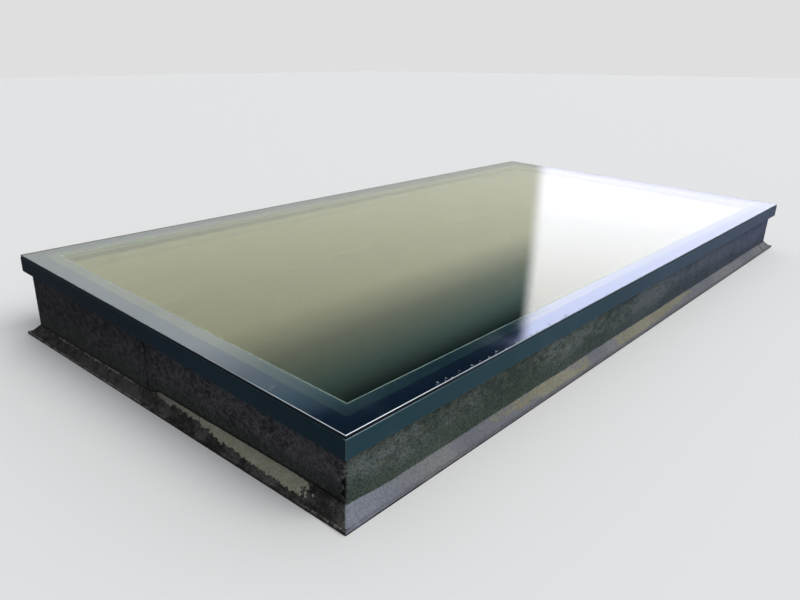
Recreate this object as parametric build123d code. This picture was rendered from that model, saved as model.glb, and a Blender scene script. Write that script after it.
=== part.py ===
from build123d import *
import math
import os

# Fixed flat roof skylight: a stepped double-glazed unit bonded on a thermally broken
# aluminium frame, which is screwed to a timber kerb dressed in two layers of roofing felt.
# Millimetres. X runs along the long sides, Y along the short ones and +Z is up.
# The origin is the middle of the kerb's foot, on the roof deck.
# A section is drawn as (inset, height) points: the inset is measured inwards from the
# outer face of the fascia, and the height upwards from the kerb's foot at the front.
# Kerb, frame and glass are built square to one another, and then tipped together by the
# kerb's fall over a level deck. The angle fillets and the felt's foot follow the deck.

# Light opening between the kerb boards
clear_length = 3000.0
clear_width = 1500.0

# Kerb timber, lowest at the front, and the angle fillet at its foot; the fall is in degrees
kerb_fall = 2.4
kerb_thickness = 63.0
kerb_height = 180.0
kerb_arris = 3.0
fillet_leg = 30.0

# Roofing felt
underlay_thickness = 3.0
cap_thickness = 4.0
lap_rise = 2.5
lap_width = 75.0
lap_joggle = 14.0
foot_lap = 12.0
front_lap_end = 495.0
back_lap_end = 405.0
left_lap_end = 870.0
felt_setback = 2.0
felt_cover_gap = 4.0
patch_wrap = 100.0
patch_upturn = 10.0

# Aluminium frame
fascia_gap = 20.0
outer_wall = 2.5
middle_wall = 2.0
middle_wall_inset = 27.0
lip_rise = 2.7
skirt_drop = 14.0
drip_return = 8.0
fascia_radius = 0.8
inner_wall = 2.5
inner_box_depth = 12.0
ledge_width = 21.5
leg_drop = 25.0
leg_gap = 0.5
web_headroom = 2.0

# Thermal break strips, held in dovetail grooves
break_gap = 6.0
break_thickness = 2.0
break_foot = 4.0
groove_depth = 3.0
groove_block = 4.0
groove_block_height = 10.0
break_setback = 9.0
crimp_clearance = 0.1

# Glazing unit
pane_inset = 1.5
outer_pane_thickness = 8.0
arris = 1.3
print_thickness = 0.2
cavity = 16.0
inner_pane_thickness = 8.8
inner_arris = 0.8
spacer_width = 12.0
spacer_shoulder = 3.0
spacer_reveal = 5.0
edge_seal_width = 10.0

# Seals, tapes and packers
bond_thickness = 4.0
bond_margin = 5.0
weather_seal_width = 12.0
bead_overlap = 2.0
glazing_tape_thickness = 3.0
glazing_tape_width = 12.0
gasket_thickness = 4.0
gasket_margin = 3.0
packer_length = 100.0
packer_width = 6.2
packer_height = 11.0
packer_clearance = 0.3
packer_from_corner = 250.0

# Corner joints
cleat_clearance = 0.3
cleat_ease = 1.0
cleat_leg = 90.0
cleat_core_length = 40.0
cleat_core_width = 12.0
brace_leg = 70.0

# Screws
frame_screw_radius = 2.4
frame_screw_length = 40.0
frame_screw_head_flats = 8.0
frame_screw_head_height = 3.5
frame_screw_pitch = 960.0
frame_screw_from_corner = 150.0
frame_screw_drop = 14.0
screw_point = 5.0
hole_clearance = 0.15

# Plan sizes over the fascias
felt_thickness = underlay_thickness + cap_thickness
kerb_inset = fascia_gap + felt_thickness
kerb_inner = kerb_inset + kerb_thickness
frame_length = clear_length + 2 * kerb_inner
frame_width = clear_width + 2 * kerb_inner

# Fall of the kerb, and the shift that keeps its foot in the middle
fall_angle = math.radians(kerb_fall)
kerb_width = frame_width - 2 * kerb_inset
foot_growth = (kerb_width / math.cos(fall_angle) - kerb_width) / 2
centring = foot_growth - fillet_leg * math.tan(fall_angle)
joint_height = fillet_leg + patch_upturn

# Heights, from the kerb's foot at the front up to the top of the glass
felt_top = kerb_height + felt_thickness
frame_base = felt_top + gasket_thickness
ledge_top = frame_base + inner_box_depth
inner_pane_low = ledge_top + glazing_tape_thickness
inner_pane_high = inner_pane_low + inner_pane_thickness
print_low = inner_pane_high + cavity
outer_pane_low = print_low + print_thickness
glass_top = outer_pane_low + outer_pane_thickness
seat_top = print_low - bond_thickness
lip_top = seat_top + lip_rise
skirt_bottom = frame_base - skirt_drop
leg_bottom = kerb_height - leg_drop

# Insets of the frame and the glass, from the fascia's outer face inwards
leg_outer = kerb_inner + leg_gap
leg_inner = leg_outer + inner_wall
web_inner = leg_inner - ledge_width
web_outer = web_inner - inner_wall
break_end = web_outer - groove_block
break_start = break_end - break_gap
outer_box_width = break_start - groove_block
inner_pane_inset = web_inner + packer_width + packer_clearance
spacer_outer = inner_pane_inset + edge_seal_width
spacer_inset = spacer_outer + spacer_width
print_outer = pane_inset + arris
print_inner = spacer_inset - spacer_reveal
upper_break = seat_top - break_setback
lower_break = frame_base + break_setback

# Edges of the laps in the cap sheet, from the left-hand end of each side as seen from outside
front_laps = (1000.0, 1760.0, frame_length - front_lap_end)
right_laps = (870.0,)
back_laps = (925.0, 1850.0, frame_length - back_lap_end)
left_laps = (frame_width - left_lap_end,)

# Cutting bodies reach this far past what they cut
overrun = 80.0

# Tips the kerb by its fall, about the foot of its front face, and back again
tipped = Pos(0, kerb_inset - frame_width / 2 - centring, 0) * Rot(kerb_fall, 0, 0)
tipped = tipped * Pos(0, frame_width / 2 - kerb_inset, 0)
squared = tipped.inverse()

SIDES = {"front": 0, "right": 90, "back": 180, "left": 270}
LAPS = {"front": front_laps, "right": right_laps, "back": back_laps, "left": left_laps}
CORNERS = (("front", "left"), ("front", "right"), ("back", "right"), ("back", "left"))


def section(*points):
    """Closed outline through (inset, height) points."""
    return make_face(Polyline(*points, close=True))


def rounded(profile, radius, *spots):
    """Profile with a small radius at the corners that lie on the given spots."""
    chosen = [v for v in profile.vertices() if any(math.dist((v.X, v.Y), s) < 0.01 for s in spots)]
    return fillet(chosen, radius)


def block(inset_low, inset_high, low, high):
    """Rectangular outline between two insets and two heights."""
    return section((inset_low, low), (inset_high, low), (inset_high, high), (inset_low, high))


def reach(side):
    """Length of a side and the distance across to the opposite one, over the fascias."""
    long_side = side in ("front", "back")
    return (frame_length, frame_width) if long_side else (frame_width, frame_length)


def run(side, profile, start, end):
    """Section drawn out along a side, from start to end as read from its left-hand end."""
    along, across = reach(side)
    plane = Plane(origin=(start - along / 2, -across / 2, 0), x_dir=(0, 1, 0), z_dir=(1, 0, 0))
    return extrude(plane * profile, end - start).rotate(Axis.Z, SIDES[side])


def mitre_wedge(side, growth=0.0):
    """Plan area that belongs to one side, between the 45 degree lines of its corners.

    The growth moves the long sides apart, as the fall does with the kerb's foot.
    """
    along, across = reach(side)
    if side in ("front", "back"):
        across += 2 * growth
    else:
        along += 2 * growth
    out = overrun
    inside = min(along, across) / 2
    corners = [
        (-along / 2 - out, -across / 2 - out),
        (along / 2 + out, -across / 2 - out),
        (along / 2 - inside, -across / 2 + inside),
        (-along / 2 + inside, -across / 2 + inside),
    ]
    if math.dist(corners[2], corners[3]) < 0.01:
        corners.pop()
    plan = Pos(0, 0, -2 * overrun) * make_face(Polyline(*corners, close=True))
    return extrude(plan, glass_top + 4 * overrun).rotate(Axis.Z, SIDES[side])


def mitred(side, profile, start=-overrun, end=None):
    """Length of section on one side, cut to the mitre where it reaches a corner."""
    end = reach(side)[0] + overrun if end is None else end
    return run(side, profile, start, end) & mitre_wedge(side)


def all_round(profile):
    """One closed ring of section, with square corners."""
    ring = mitred("front", profile)
    for side in ("right", "back", "left"):
        ring += mitred(side, profile)
    return ring


def slab(inset, low, high):
    """Plate whose four edges lie at one inset."""
    centred = (Align.CENTER, Align.CENTER, Align.MIN)
    size = (frame_length - 2 * inset, frame_width - 2 * inset, high - low)
    return Pos(0, 0, low) * Box(*size, align=centred)


def band(outer, inner, low, high):
    """Flat rectangular ring between two insets."""
    return slab(outer, low, high) - slab(inner, low, high)


def facing_in(side, along_place, inset, height):
    """Place on a side whose own Z axis points inwards, across the frame."""
    along, across = reach(side)
    spot = Pos(along_place - along / 2, inset - across / 2, height)
    return Rot(0, 0, SIDES[side]) * spot * Rot(-90, 0, 0)


def glass_pane(inset, low, high, edge):
    """Sheet of glass with its top and bottom arrises taken off."""
    pane = slab(inset, low, high)
    flats = pane.edges().filter_by(Axis.Z, reverse=True)
    return chamfer(flats, edge)


def spacer_profile():
    """Spacer bar: flat towards the cavity, with two shoulders at the back."""
    back = spacer_outer + spacer_shoulder
    return section(
        (spacer_inset, inner_pane_high),
        (spacer_inset, print_low),
        (back, print_low),
        (spacer_outer, print_low - spacer_shoulder),
        (spacer_outer, inner_pane_high + spacer_shoulder),
        (back, inner_pane_high),
    )


def edge_seal_profile():
    """Sealant between the panes, filled round the shoulders of the spacer bar."""
    back = spacer_outer + spacer_shoulder
    return section(
        (inner_pane_inset, inner_pane_high),
        (back, inner_pane_high),
        (spacer_outer, inner_pane_high + spacer_shoulder),
        (spacer_outer, print_low - spacer_shoulder),
        (back, print_low),
        (inner_pane_inset, print_low),
    )


def weather_seal_profile():
    """Bead on the seat, brought out over the fascia's lip to the edge of the pane."""
    return section(
        (outer_wall - bead_overlap, lip_top),
        (outer_wall, lip_top),
        (outer_wall, seat_top),
        (weather_seal_width, seat_top),
        (weather_seal_width, print_low),
        (outer_wall, print_low),
    )


def break_strip(height, clearance=0.0):
    """One thermal break strip, with a dovetail foot on each edge."""
    neck = break_thickness / 2 + clearance
    foot = break_foot / 2 + clearance
    return section(
        (break_start - groove_depth, height - foot),
        (break_start, height - neck),
        (break_end, height - neck),
        (break_end + groove_depth, height - foot),
        (break_end + groove_depth, height + foot),
        (break_end, height + neck),
        (break_start, height + neck),
        (break_start - groove_depth, height + foot),
    )


def groove_blocks(inset_low, inset_high):
    """The pair of thickenings that hold the break strips on one rail."""
    half = groove_block_height / 2
    lower = block(inset_low, inset_high, lower_break - half, lower_break + half)
    return lower + block(inset_low, inset_high, upper_break - half, upper_break + half)


def outer_rail_profile():
    """Outer rail: two chambers under the glass seat, and the fascia with its drip return."""
    outline = section(
        (0, skirt_bottom),
        (0, lip_top),
        (outer_wall, lip_top),
        (outer_wall, seat_top),
        (outer_box_width, seat_top),
        (outer_box_width, frame_base),
        (outer_wall, frame_base),
        (outer_wall, skirt_bottom + outer_wall),
        (drip_return, skirt_bottom + outer_wall),
        (drip_return, skirt_bottom),
    )
    outline = rounded(outline, fascia_radius, (0, skirt_bottom), (0, lip_top))
    floor = frame_base + outer_wall
    roof = seat_top - outer_wall
    rear = middle_wall_inset + middle_wall
    outline -= block(outer_wall, middle_wall_inset, floor, roof)
    outline -= block(rear, outer_box_width - outer_wall, floor, roof)
    outline += groove_blocks(outer_box_width, break_start)
    for height in (lower_break, upper_break):
        outline -= break_strip(height, crimp_clearance)
    return outline


def inner_rail_profile():
    """Inner rail: upright web, hollow ledge under the inner pane, and the fixing leg."""
    outline = section(
        (web_outer, frame_base),
        (web_outer, seat_top - web_headroom),
        (web_inner, seat_top - web_headroom),
        (web_inner, ledge_top),
        (leg_inner, ledge_top),
        (leg_inner, leg_bottom),
        (leg_outer, leg_bottom),
        (leg_outer, frame_base),
    )
    outline = rounded(outline, fascia_radius, (leg_inner, ledge_top), (leg_inner, leg_bottom))
    floor = frame_base + inner_wall
    outline -= block(web_inner, leg_outer, floor, ledge_top - inner_wall)
    outline += groove_blocks(break_end, web_outer)
    for height in (lower_break, upper_break):
        outline -= break_strip(height, crimp_clearance)
    return outline


def corner_angle(near, far, leg, low, high):
    """L-shaped block in a corner chamber, with its long edges eased."""
    plan = section((near, near), (leg, near), (leg, far), (far, far), (far, leg), (near, leg))
    angle = extrude(Pos(0, 0, low) * plan, high - low)
    return chamfer(angle.edges().filter_by(Axis.Z, reverse=True), cleat_ease)


def at_corners(piece):
    """The same corner piece in all four corners of the frame."""
    half_length, half_width = frame_length / 2, frame_width / 2
    placed = []
    for x_sign, y_sign in ((-1, -1), (1, -1), (1, 1), (-1, 1)):
        turned = piece
        if x_sign > 0:
            turned = turned.mirror(Plane.YZ)
        if y_sign > 0:
            turned = turned.mirror(Plane.XZ)
        placed.append(Pos(x_sign * half_length, y_sign * half_width, 0) * turned)
    return placed


def corner_cleats():
    """Cleats that pull the outer rails' mitres together, with a core cut out of each leg."""
    near = outer_wall + cleat_clearance
    far = middle_wall_inset - cleat_clearance
    low = frame_base + outer_wall
    high = seat_top - outer_wall - cleat_clearance
    cleat = corner_angle(near, far, cleat_leg, low, high)
    middle = (far + cleat_leg) / 2
    centre = (near + far) / 2
    for place in (Pos(middle, centre, low), Pos(centre, middle, low) * Rot(0, 0, 90)):
        cleat -= extrude(place * Rectangle(cleat_core_length, cleat_core_width), high - low)
    return at_corners(cleat)


def corner_braces():
    """Flat braces in the hollow ledge of the inner rails."""
    low = frame_base + inner_wall
    high = ledge_top - inner_wall - cleat_clearance
    near = web_inner + cleat_clearance
    far = leg_outer - cleat_clearance
    return at_corners(corner_angle(near, far, near + brace_leg, low, high))


def frame_screw():
    """Hexagon-head screw along Z: its head's underside is at 0 and its point is down, below it."""
    tip = -frame_screw_length
    shank = Polyline(
        (0, 0),
        (0, tip),
        (frame_screw_radius, tip + screw_point),
        (frame_screw_radius, 0),
        close=True,
    )
    head_radius = frame_screw_head_flats / math.sqrt(3)
    head = extrude(RegularPolygon(head_radius, 6), frame_screw_head_height)
    return head + revolve(Plane.XZ * make_face(shank), Axis.Z)


def frame_screw_places(side):
    """Evenly spread screws along a side's fixing leg."""
    along = reach(side)[0]
    first = kerb_inner + frame_screw_from_corner
    gaps = max(1, math.ceil((along - 2 * first) / frame_screw_pitch))
    return [facing_in(side, first + i * (along - 2 * first) / gaps, leg_inner, kerb_height - frame_screw_drop)
            for i in range(gaps + 1)]


def bored(piece, places, radius, depth):
    """Piece with a straight hole for each screw."""
    upwards = (Align.CENTER, Align.CENTER, Align.MIN)
    hole = Pos(0, 0, -depth) * Cylinder(radius, depth + leg_inner, align=upwards)
    for place in places:
        piece -= place * hole
    return piece


def under_level(height):
    """Space below a height above the deck, as it lies before the kerb is tipped."""
    return squared * slab(-3 * overrun, -4 * overrun, height)


def on_deck(side, profile):
    """Section drawn over the level deck, run out along a side and turned to meet the kerb."""
    return squared * run(side, profile, -3 * overrun, reach(side)[0] + 3 * overrun)


def foot_mitre(side):
    """Space that belongs to one side on the deck, upright where the kerb itself leans."""
    return squared * mitre_wedge(side, foot_growth)


def lean(side):
    """How far a side of the tipped kerb leans outwards for each millimetre up."""
    return {"front": math.tan(fall_angle), "back": -math.tan(fall_angle)}.get(side, 0.0)


def upright(side, depth, height):
    """Inset, at a height above the deck, of a surface at a depth off the kerb's face."""
    if side in ("left", "right"):
        return kerb_inset - depth
    foot = kerb_inset - foot_growth + fillet_leg * lean(side)
    return foot - depth / math.cos(fall_angle) - height * lean(side)


def fillet_toe(side):
    """Inset of the angle fillet's thin edge on the deck."""
    return upright(side, 0, fillet_leg) - fillet_leg


def kerb_board(side):
    """Regularised timber; the long boards run through and the short ones butt between them."""
    along = reach(side)[0]
    end = kerb_inset if side in ("front", "back") else kerb_inner
    outline = block(kerb_inset, kerb_inner, -overrun, kerb_height)
    outline = rounded(outline, kerb_arris, (kerb_inset, kerb_height), (kerb_inner, kerb_height))
    return run(side, outline, end, along - end) - under_level(0)


def angle_fillet(side):
    """Triangular strip in the corner between the kerb and the deck."""
    wedge = section(
        (upright(side, 0, 0), 0),
        (upright(side, 0, fillet_leg), fillet_leg),
        (fillet_toe(side), 0),
    )
    return on_deck(side, wedge) & foot_mitre(side)


def felt_foot(side, under, over, start, end):
    """Felt between two depths from the joint height down: face, angle fillet and toe."""
    bend = math.sqrt(2) - 1
    square = math.cos(fall_angle) if side in ("front", "back") else 1.0
    toe = fillet_toe(side)

    def line(depth):
        crease = fillet_leg + depth * (math.sqrt(2) - 1 / square) / (1 + lean(side))
        return [
            (upright(side, depth, joint_height), joint_height),
            (upright(side, depth, crease), crease),
            (toe - depth * bend, depth),
            (toe - foot_lap, depth),
        ]

    length = run(side, block(-overrun, 2 * overrun, -2 * overrun, 2 * overrun), start, end)
    return on_deck(side, section(*line(over), *reversed(line(under)))) & length & foot_mitre(side)


def felt(side, under, over, start, end, top=None):
    """Felt between two depths along part of a side, from the kerb's top down to the toe.

    With a top height it starts on the kerb's face, and otherwise on the kerb's top.
    """

    def line(depth):
        face = kerb_inset - depth
        crown = [(kerb_inner - felt_setback, kerb_height + depth), (face, kerb_height + depth)]
        return (crown if top is None else [(face, top)]) + [(face, -overrun)]

    upper = mitred(side, section(*line(over), *reversed(line(under))), start, end)
    return (upper - under_level(joint_height)) + felt_foot(side, under, over, start, end)


def cap_strips(side):
    """Cap sheet strips of one side; each laps over its right-hand neighbour."""
    along = reach(side)[0]
    laps = LAPS[side]
    edges = [-overrun] + [place - lap_width for place in laps] + [along + overrun]
    strips = []
    for number in range(len(edges) - 1):
        strip = felt(side, underlay_thickness, felt_thickness, edges[number], edges[number + 1])
        if number < len(laps):
            start = edges[number + 1] - lap_joggle
            top = felt_top - felt_cover_gap
            strip += felt(side, felt_thickness, felt_thickness + lap_rise, start, laps[number], top)
        strips.append(strip)
    return strips


def corner_patch(long_side, short_side):
    """Gusset of cap sheet dressed round the angle fillets and the toe of one corner."""
    wings = []
    for side, other in ((long_side, short_side), (short_side, long_side)):
        along = reach(side)[0]
        wing = fascia_gap + patch_wrap
        at_left_end = (SIDES[side] - 90) % 360 == SIDES[other]
        start, end = (-overrun, wing) if at_left_end else (along - wing, along + overrun)
        wings.append(felt_foot(side, felt_thickness, felt_thickness + lap_rise, start, end))
    return wings[0] + wings[1]


def write(name, *pieces):
    """One STEP file for each sub-part, tipped by the kerb's fall."""
    placed = [tipped * piece for piece in pieces]
    export_step(placed[0] if len(placed) == 1 else Compound(children=placed), f"parts/{name}.step")


def main():
    os.makedirs("parts", exist_ok=True)

    # Glazing unit
    write("outer_pane", glass_pane(pane_inset, outer_pane_low, glass_top, arris))
    write("border_print", band(print_outer, print_inner, print_low, outer_pane_low))
    write("spacer_bar", all_round(spacer_profile()))
    write("edge_seal", all_round(edge_seal_profile()))
    write("inner_pane", glass_pane(inner_pane_inset, inner_pane_low, inner_pane_high, inner_arris))

    # Seals and packing
    bond_end = outer_box_width - bond_margin
    write("bonding_seal", band(weather_seal_width, bond_end, seat_top, print_low))
    write("weather_seal", all_round(weather_seal_profile()))
    tape_end = inner_pane_inset + glazing_tape_width
    write("glazing_tape", band(inner_pane_inset, tape_end, ledge_top, inner_pane_low))
    gasket_end = kerb_inner - felt_setback - gasket_margin
    write("base_gasket", band(kerb_inset + gasket_margin, gasket_end, felt_top, frame_base))
    packers = []
    packer = block(web_inner, web_inner + packer_width, ledge_top, ledge_top + packer_height)
    for side in SIDES:
        along = reach(side)[0]
        for start in (packer_from_corner, along - packer_from_corner - packer_length):
            packers.append(run(side, packer, start, start + packer_length))
    write("edge_packers", *packers)

    # Frame
    screw = frame_screw()
    screws = []
    hole_radius = frame_screw_radius + hole_clearance
    leg_depth = leg_inner - leg_outer + leg_gap / 2
    strips = break_strip(lower_break) + break_strip(upper_break)
    for side in SIDES:
        places = frame_screw_places(side)
        screws += [place * screw for place in places]
        write(f"frame_outer_{side}", mitred(side, outer_rail_profile()))
        write(f"frame_inner_{side}", bored(mitred(side, inner_rail_profile()), places, hole_radius, leg_depth))
        write(f"thermal_break_{side}", mitred(side, strips))
    write("corner_cleats", *corner_cleats())
    write("corner_braces", *corner_braces())
    write("frame_screws", *screws)

    # Kerb
    board_depth = frame_screw_length + screw_point
    for side in SIDES:
        write(f"kerb_board_{side}", bored(kerb_board(side), frame_screw_places(side), hole_radius, board_depth))
        write(f"angle_fillet_{side}", angle_fillet(side))
        underlay = felt(side, 0, underlay_thickness, -overrun, reach(side)[0] + overrun)
        write(f"felt_underlay_{side}", underlay)
        for number, strip in enumerate(cap_strips(side), start=1):
            write(f"cap_sheet_{side}_{number}", strip)
    for long_side, short_side in CORNERS:
        write(f"corner_patch_{long_side}_{short_side}", corner_patch(long_side, short_side))


main()
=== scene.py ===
"""Looks of the fixed flat roof skylight: glass, black border, powder coat and weathered felt.

Metres. X runs along the long sides, Y along the short ones and +Z is up. The origin is the
middle of the kerb's foot. A section is read as (inset, height): the inset is measured inwards
from the outer face of the fascia, the height upwards from the kerb's foot at the front.
Kerb, frame and glass are square to one another, and tipped together by the kerb's fall over a
level foot. Their pieces are laid out square and then tipped, as in the CAD model.
"""
import math

import bmesh
import bpy
from mathutils import Matrix, Vector, noise


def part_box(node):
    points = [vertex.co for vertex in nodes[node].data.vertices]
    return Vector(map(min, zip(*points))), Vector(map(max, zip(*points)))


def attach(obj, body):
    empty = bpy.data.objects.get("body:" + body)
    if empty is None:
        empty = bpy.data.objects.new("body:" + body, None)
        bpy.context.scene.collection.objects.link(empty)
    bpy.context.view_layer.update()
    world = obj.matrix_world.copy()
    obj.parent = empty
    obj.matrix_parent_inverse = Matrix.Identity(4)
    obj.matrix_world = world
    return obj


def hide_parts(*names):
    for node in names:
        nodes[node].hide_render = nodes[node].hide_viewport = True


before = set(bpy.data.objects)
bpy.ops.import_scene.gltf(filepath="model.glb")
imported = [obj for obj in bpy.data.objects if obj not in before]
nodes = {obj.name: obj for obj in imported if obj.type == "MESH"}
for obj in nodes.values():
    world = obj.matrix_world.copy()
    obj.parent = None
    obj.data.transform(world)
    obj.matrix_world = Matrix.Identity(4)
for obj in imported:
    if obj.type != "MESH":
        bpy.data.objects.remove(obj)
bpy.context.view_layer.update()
MM = 0.001

# Plan sizes over the fascias and heights of the glazing, before it is tipped
HALF_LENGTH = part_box("frame_outer_front")[1].x
HALF_WIDTH = 840 * MM
SKIRT_BOTTOM = 177 * MM
LIP_TOP = 229.5 * MM
PRINT_LOW = 230.8 * MM
PRINT_HIGH = 231 * MM
PRINT_LET_IN = 0.05 * MM
GLASS_TOP = 239 * MM
PANE_INSET = 1.5 * MM
PANE_ARRIS = 1.3 * MM
BORDER_STEP = 58 * MM
BORDER_INNER = 96.4 * MM
SPACER_SLOT_DROP = 8 * MM

# Felt on the kerb: as the section of the kerb in the CAD model
KERB_INSET = 27 * MM
KERB_INNER = 90 * MM
KERB_HEIGHT = 180 * MM
FILLET_LEG = 30 * MM
FOOT_LAP = 12 * MM
FELT_SETBACK = 2 * MM
UNDERLAY = 3 * MM
FELT = 7 * MM
LAP_RISE = 2.5 * MM
LAP_WIDTH = 75 * MM
LAP_JOGGLE = 14 * MM
PATCH_WRAP = 120 * MM
PATCH_TOP = 40 * MM
CREASE_RADIUS = 13 * MM
CROWN_RADIUS = 3 * MM
CORNER_RADIUS = 2 * MM
CROWN_POINTS, FACE_POINTS, CREASE_POINTS, SLOPE_POINTS = 5, 13, 4, 5
COLUMN_PITCH = 20 * MM
CORNER_TURNS = (45, 30, 15)

# How the felt was laid by hand: waves, wandering laps, ragged edges, and a crease that bridges
# the fillet near the front left corner, where the left side's sheet stands loose
SLOW_WAVE = 1.7 * MM
QUICK_WAVE = 0.7 * MM
LAP_WANDER = 3 * MM
TOE_RAG = 2.2 * MM
PATCH_RAG = 5 * MM
PATCH_TOP_RAG = 3 * MM
LEFT_CREASE_RISE = 15 * MM
LEFT_CREASE_DROP = 4 * MM
FRONT_CREASE_RISE = 11 * MM
CREASE_RISE_TOP = 130 * MM
CURL = 8 * MM
CURL_HEIGHTS = (96 * MM, 64 * MM)
CURL_REACH = 9 * MM
LEFT_SHORT_BY = 16 * MM

# The kerb is tipped about the foot of its front face, and then centred on its foot
KERB_FALL = math.radians(2.4)
KERB_WIDTH = 2 * (HALF_WIDTH - KERB_INSET)
CENTRING = KERB_WIDTH * (1 / math.cos(KERB_FALL) - 1) / 2 - FILLET_LEG * math.tan(KERB_FALL)
TIPPED = (
    Matrix.Translation((0, KERB_INSET - HALF_WIDTH - CENTRING, 0))
    @ Matrix.Rotation(KERB_FALL, 4, "X")
    @ Matrix.Translation((0, HALF_WIDTH - KERB_INSET, 0))
)
SQUARED = TIPPED.inverted()

SIDES = {"front": 0, "right": 90, "back": 180, "left": 270}
LAPS = {
    "front": (1.000, 1.760, 2.685),
    "right": (0.870,),
    "back": (0.925, 1.850, 2.775),
    "left": (0.810,),
}
CORNERS = (("front", "left"), ("front", "right"), ("back", "right"), ("back", "left"))
QUARTERS = ((-1, -1), (1, -1), (1, 1), (-1, 1))
# How damp each side's felt is, and how deep in painted shade, from 0 to 1
DAMP_AND_SHADE = {"front": 0.0, "right": 0.25, "back": 0.6, "left": 1.0}


# Node trees

def fill(tree, socket, value):
    """Feed a socket from another one, or give it a plain value; colours have three parts."""
    if isinstance(value, bpy.types.NodeSocket):
        tree.links.new(value, socket)
    else:
        socket.default_value = (*value, 1) if socket.type == "RGBA" else value


def node(tree, kind, values=None, **settings):
    """Add a node with its settings, and fill its sockets by their names or numbers."""
    made = tree.nodes.new(kind)
    for key, value in settings.items():
        setattr(made, key, value)
    for key, value in (values or {}).items():
        fill(tree, made.inputs[key], value)
    return made


def node_group(name, kind, inputs, output_kinds):
    """Empty node group with named sockets: (label, kind, default) in and {label: kind} out."""
    group = bpy.data.node_groups.new(name, kind)
    for label, value, default in inputs:
        socket = group.interface.new_socket(label, in_out="INPUT", socket_type="NodeSocket" + value)
        if default is not None:
            socket.default_value = default
    for label, value in output_kinds.items():
        group.interface.new_socket(label, in_out="OUTPUT", socket_type="NodeSocket" + value)
    return group, group.nodes.new("NodeGroupInput").outputs, group.nodes.new("NodeGroupOutput").inputs


def colour_ramp(tree, source, *stops):
    """Colour ramp with (place, colour) stops."""
    ramp = node(tree, "ShaderNodeValToRGB", {"Fac": source})
    elements = ramp.color_ramp.elements
    while len(elements) < len(stops):
        elements.new(0.5)
    for element, (place, colour) in zip(elements, stops):
        element.position = place
        element.color = (*colour, 1)
    return ramp.outputs["Color"]


def spread(tree, source, low, high, out_low=0.0, out_high=1.0, kind="SMOOTHSTEP"):
    """Map a value's range onto another, clamped."""
    values = {"Value": source, "From Min": low, "From Max": high, "To Min": out_low, "To Max": out_high}
    return node(tree, "ShaderNodeMapRange", values, interpolation_type=kind).outputs["Result"]


def maths(tree, operation, *values):
    """Maths node between sockets or plain numbers."""
    return node(tree, "ShaderNodeMath", dict(enumerate(values)), operation=operation).outputs["Value"]


def times(tree, first, *others):
    """Product of sockets or plain numbers."""
    for other in others:
        first = maths(tree, "MULTIPLY", first, other)
    return first


def scaled(tree, source, factor, added):
    """A value times a factor, plus another value."""
    return maths(tree, "MULTIPLY_ADD", source, factor, added)


def mix(tree, factor, first, second):
    """Mix two colours; a colour is a socket or a tuple."""
    return node(tree, "ShaderNodeMix", {0: factor, 6: first, 7: second}, data_type="RGBA").outputs[2]


def squared(tree, source="Object", location=tuple(SQUARED.translation)):
    """Coordinates laid square to the glass, whole and split into X, Y and Z."""
    coords = node(tree, "ShaderNodeTexCoord").outputs[source]
    turn = {"Vector": coords, "Location": location, "Rotation": tuple(SQUARED.to_euler())}
    square = node(tree, "ShaderNodeMapping", turn).outputs["Vector"]
    parts = node(tree, "ShaderNodeSeparateXYZ", {"Vector": square}).outputs
    return square, parts["X"], parts["Y"], parts["Z"]


def cloud(tree, coords, scale, detail=3.0, rough=0.55, stretch=(1, 1, 1)):
    """Noise on a stretched copy of the coordinates."""
    stretched = node(tree, "ShaderNodeMapping", {"Vector": coords, "Scale": stretch}).outputs["Vector"]
    values = {"Vector": stretched, "Scale": scale, "Detail": detail, "Roughness": rough}
    return node(tree, "ShaderNodeTexNoise", values).outputs["Fac"]


def build_grain_group():
    """Fine grain with larger clouds: granules, powder coat or sawn fibre, by its scale."""
    group, given, wanted = node_group("grain", "ShaderNodeTree", (
        ("Vector", "Vector", None), ("Grain Scale", "Float", 600.0), ("Cloud Scale", "Float", 6.0),
    ), {"Grain": "Float", "Cloud": "Float"})
    coords, scale = given["Vector"], given["Grain Scale"]
    cells = node(group, "ShaderNodeTexVoronoi", {"Vector": coords, "Scale": scale}).outputs["Distance"]
    specks = cloud(group, coords, scale, 2.0, 0.5)
    fill(group, wanted["Grain"], scaled(group, specks, 0.5, times(group, cells, 0.6)))
    fill(group, wanted["Cloud"], cloud(group, coords, given["Cloud Scale"], 5.0, 0.6))
    return group


def build_runs_group():
    """Rain runs down a face and the dirt they leave, from 0 clean to 1 dirty."""
    group, given, wanted = node_group("rain_runs", "ShaderNodeTree", (
        ("Vector", "Vector", None), ("Amount", "Float", 0.5),
    ), {"Dirt": "Float"})
    narrow = cloud(group, given["Vector"], 40.0, 4.0, 0.6, (1, 1, 0.06))
    wide = cloud(group, given["Vector"], 7.0, 3.0, 0.6, (1, 1, 0.25))
    runs = times(group, spread(group, narrow, 0.42, 0.68), spread(group, wide, 0.35, 0.65))
    fill(group, wanted["Dirt"], times(group, runs, given["Amount"]))
    return group


grain_group = build_grain_group()
runs_group = build_runs_group()


def grain(tree, coords, grain_scale, cloud_scale):
    values = {"Vector": coords, "Grain Scale": grain_scale, "Cloud Scale": cloud_scale}
    made = node(tree, "ShaderNodeGroup", values, node_tree=grain_group)
    return made.outputs["Grain"], made.outputs["Cloud"]


def rain_runs(tree, coords, amount):
    values = {"Vector": coords, "Amount": amount}
    return node(tree, "ShaderNodeGroup", values, node_tree=runs_group).outputs["Dirt"]


# Materials

def new_material(name):
    """An empty node material and its tree."""
    mat = bpy.data.materials.new(name)
    mat.use_nodes = True
    return mat, mat.node_tree


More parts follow.
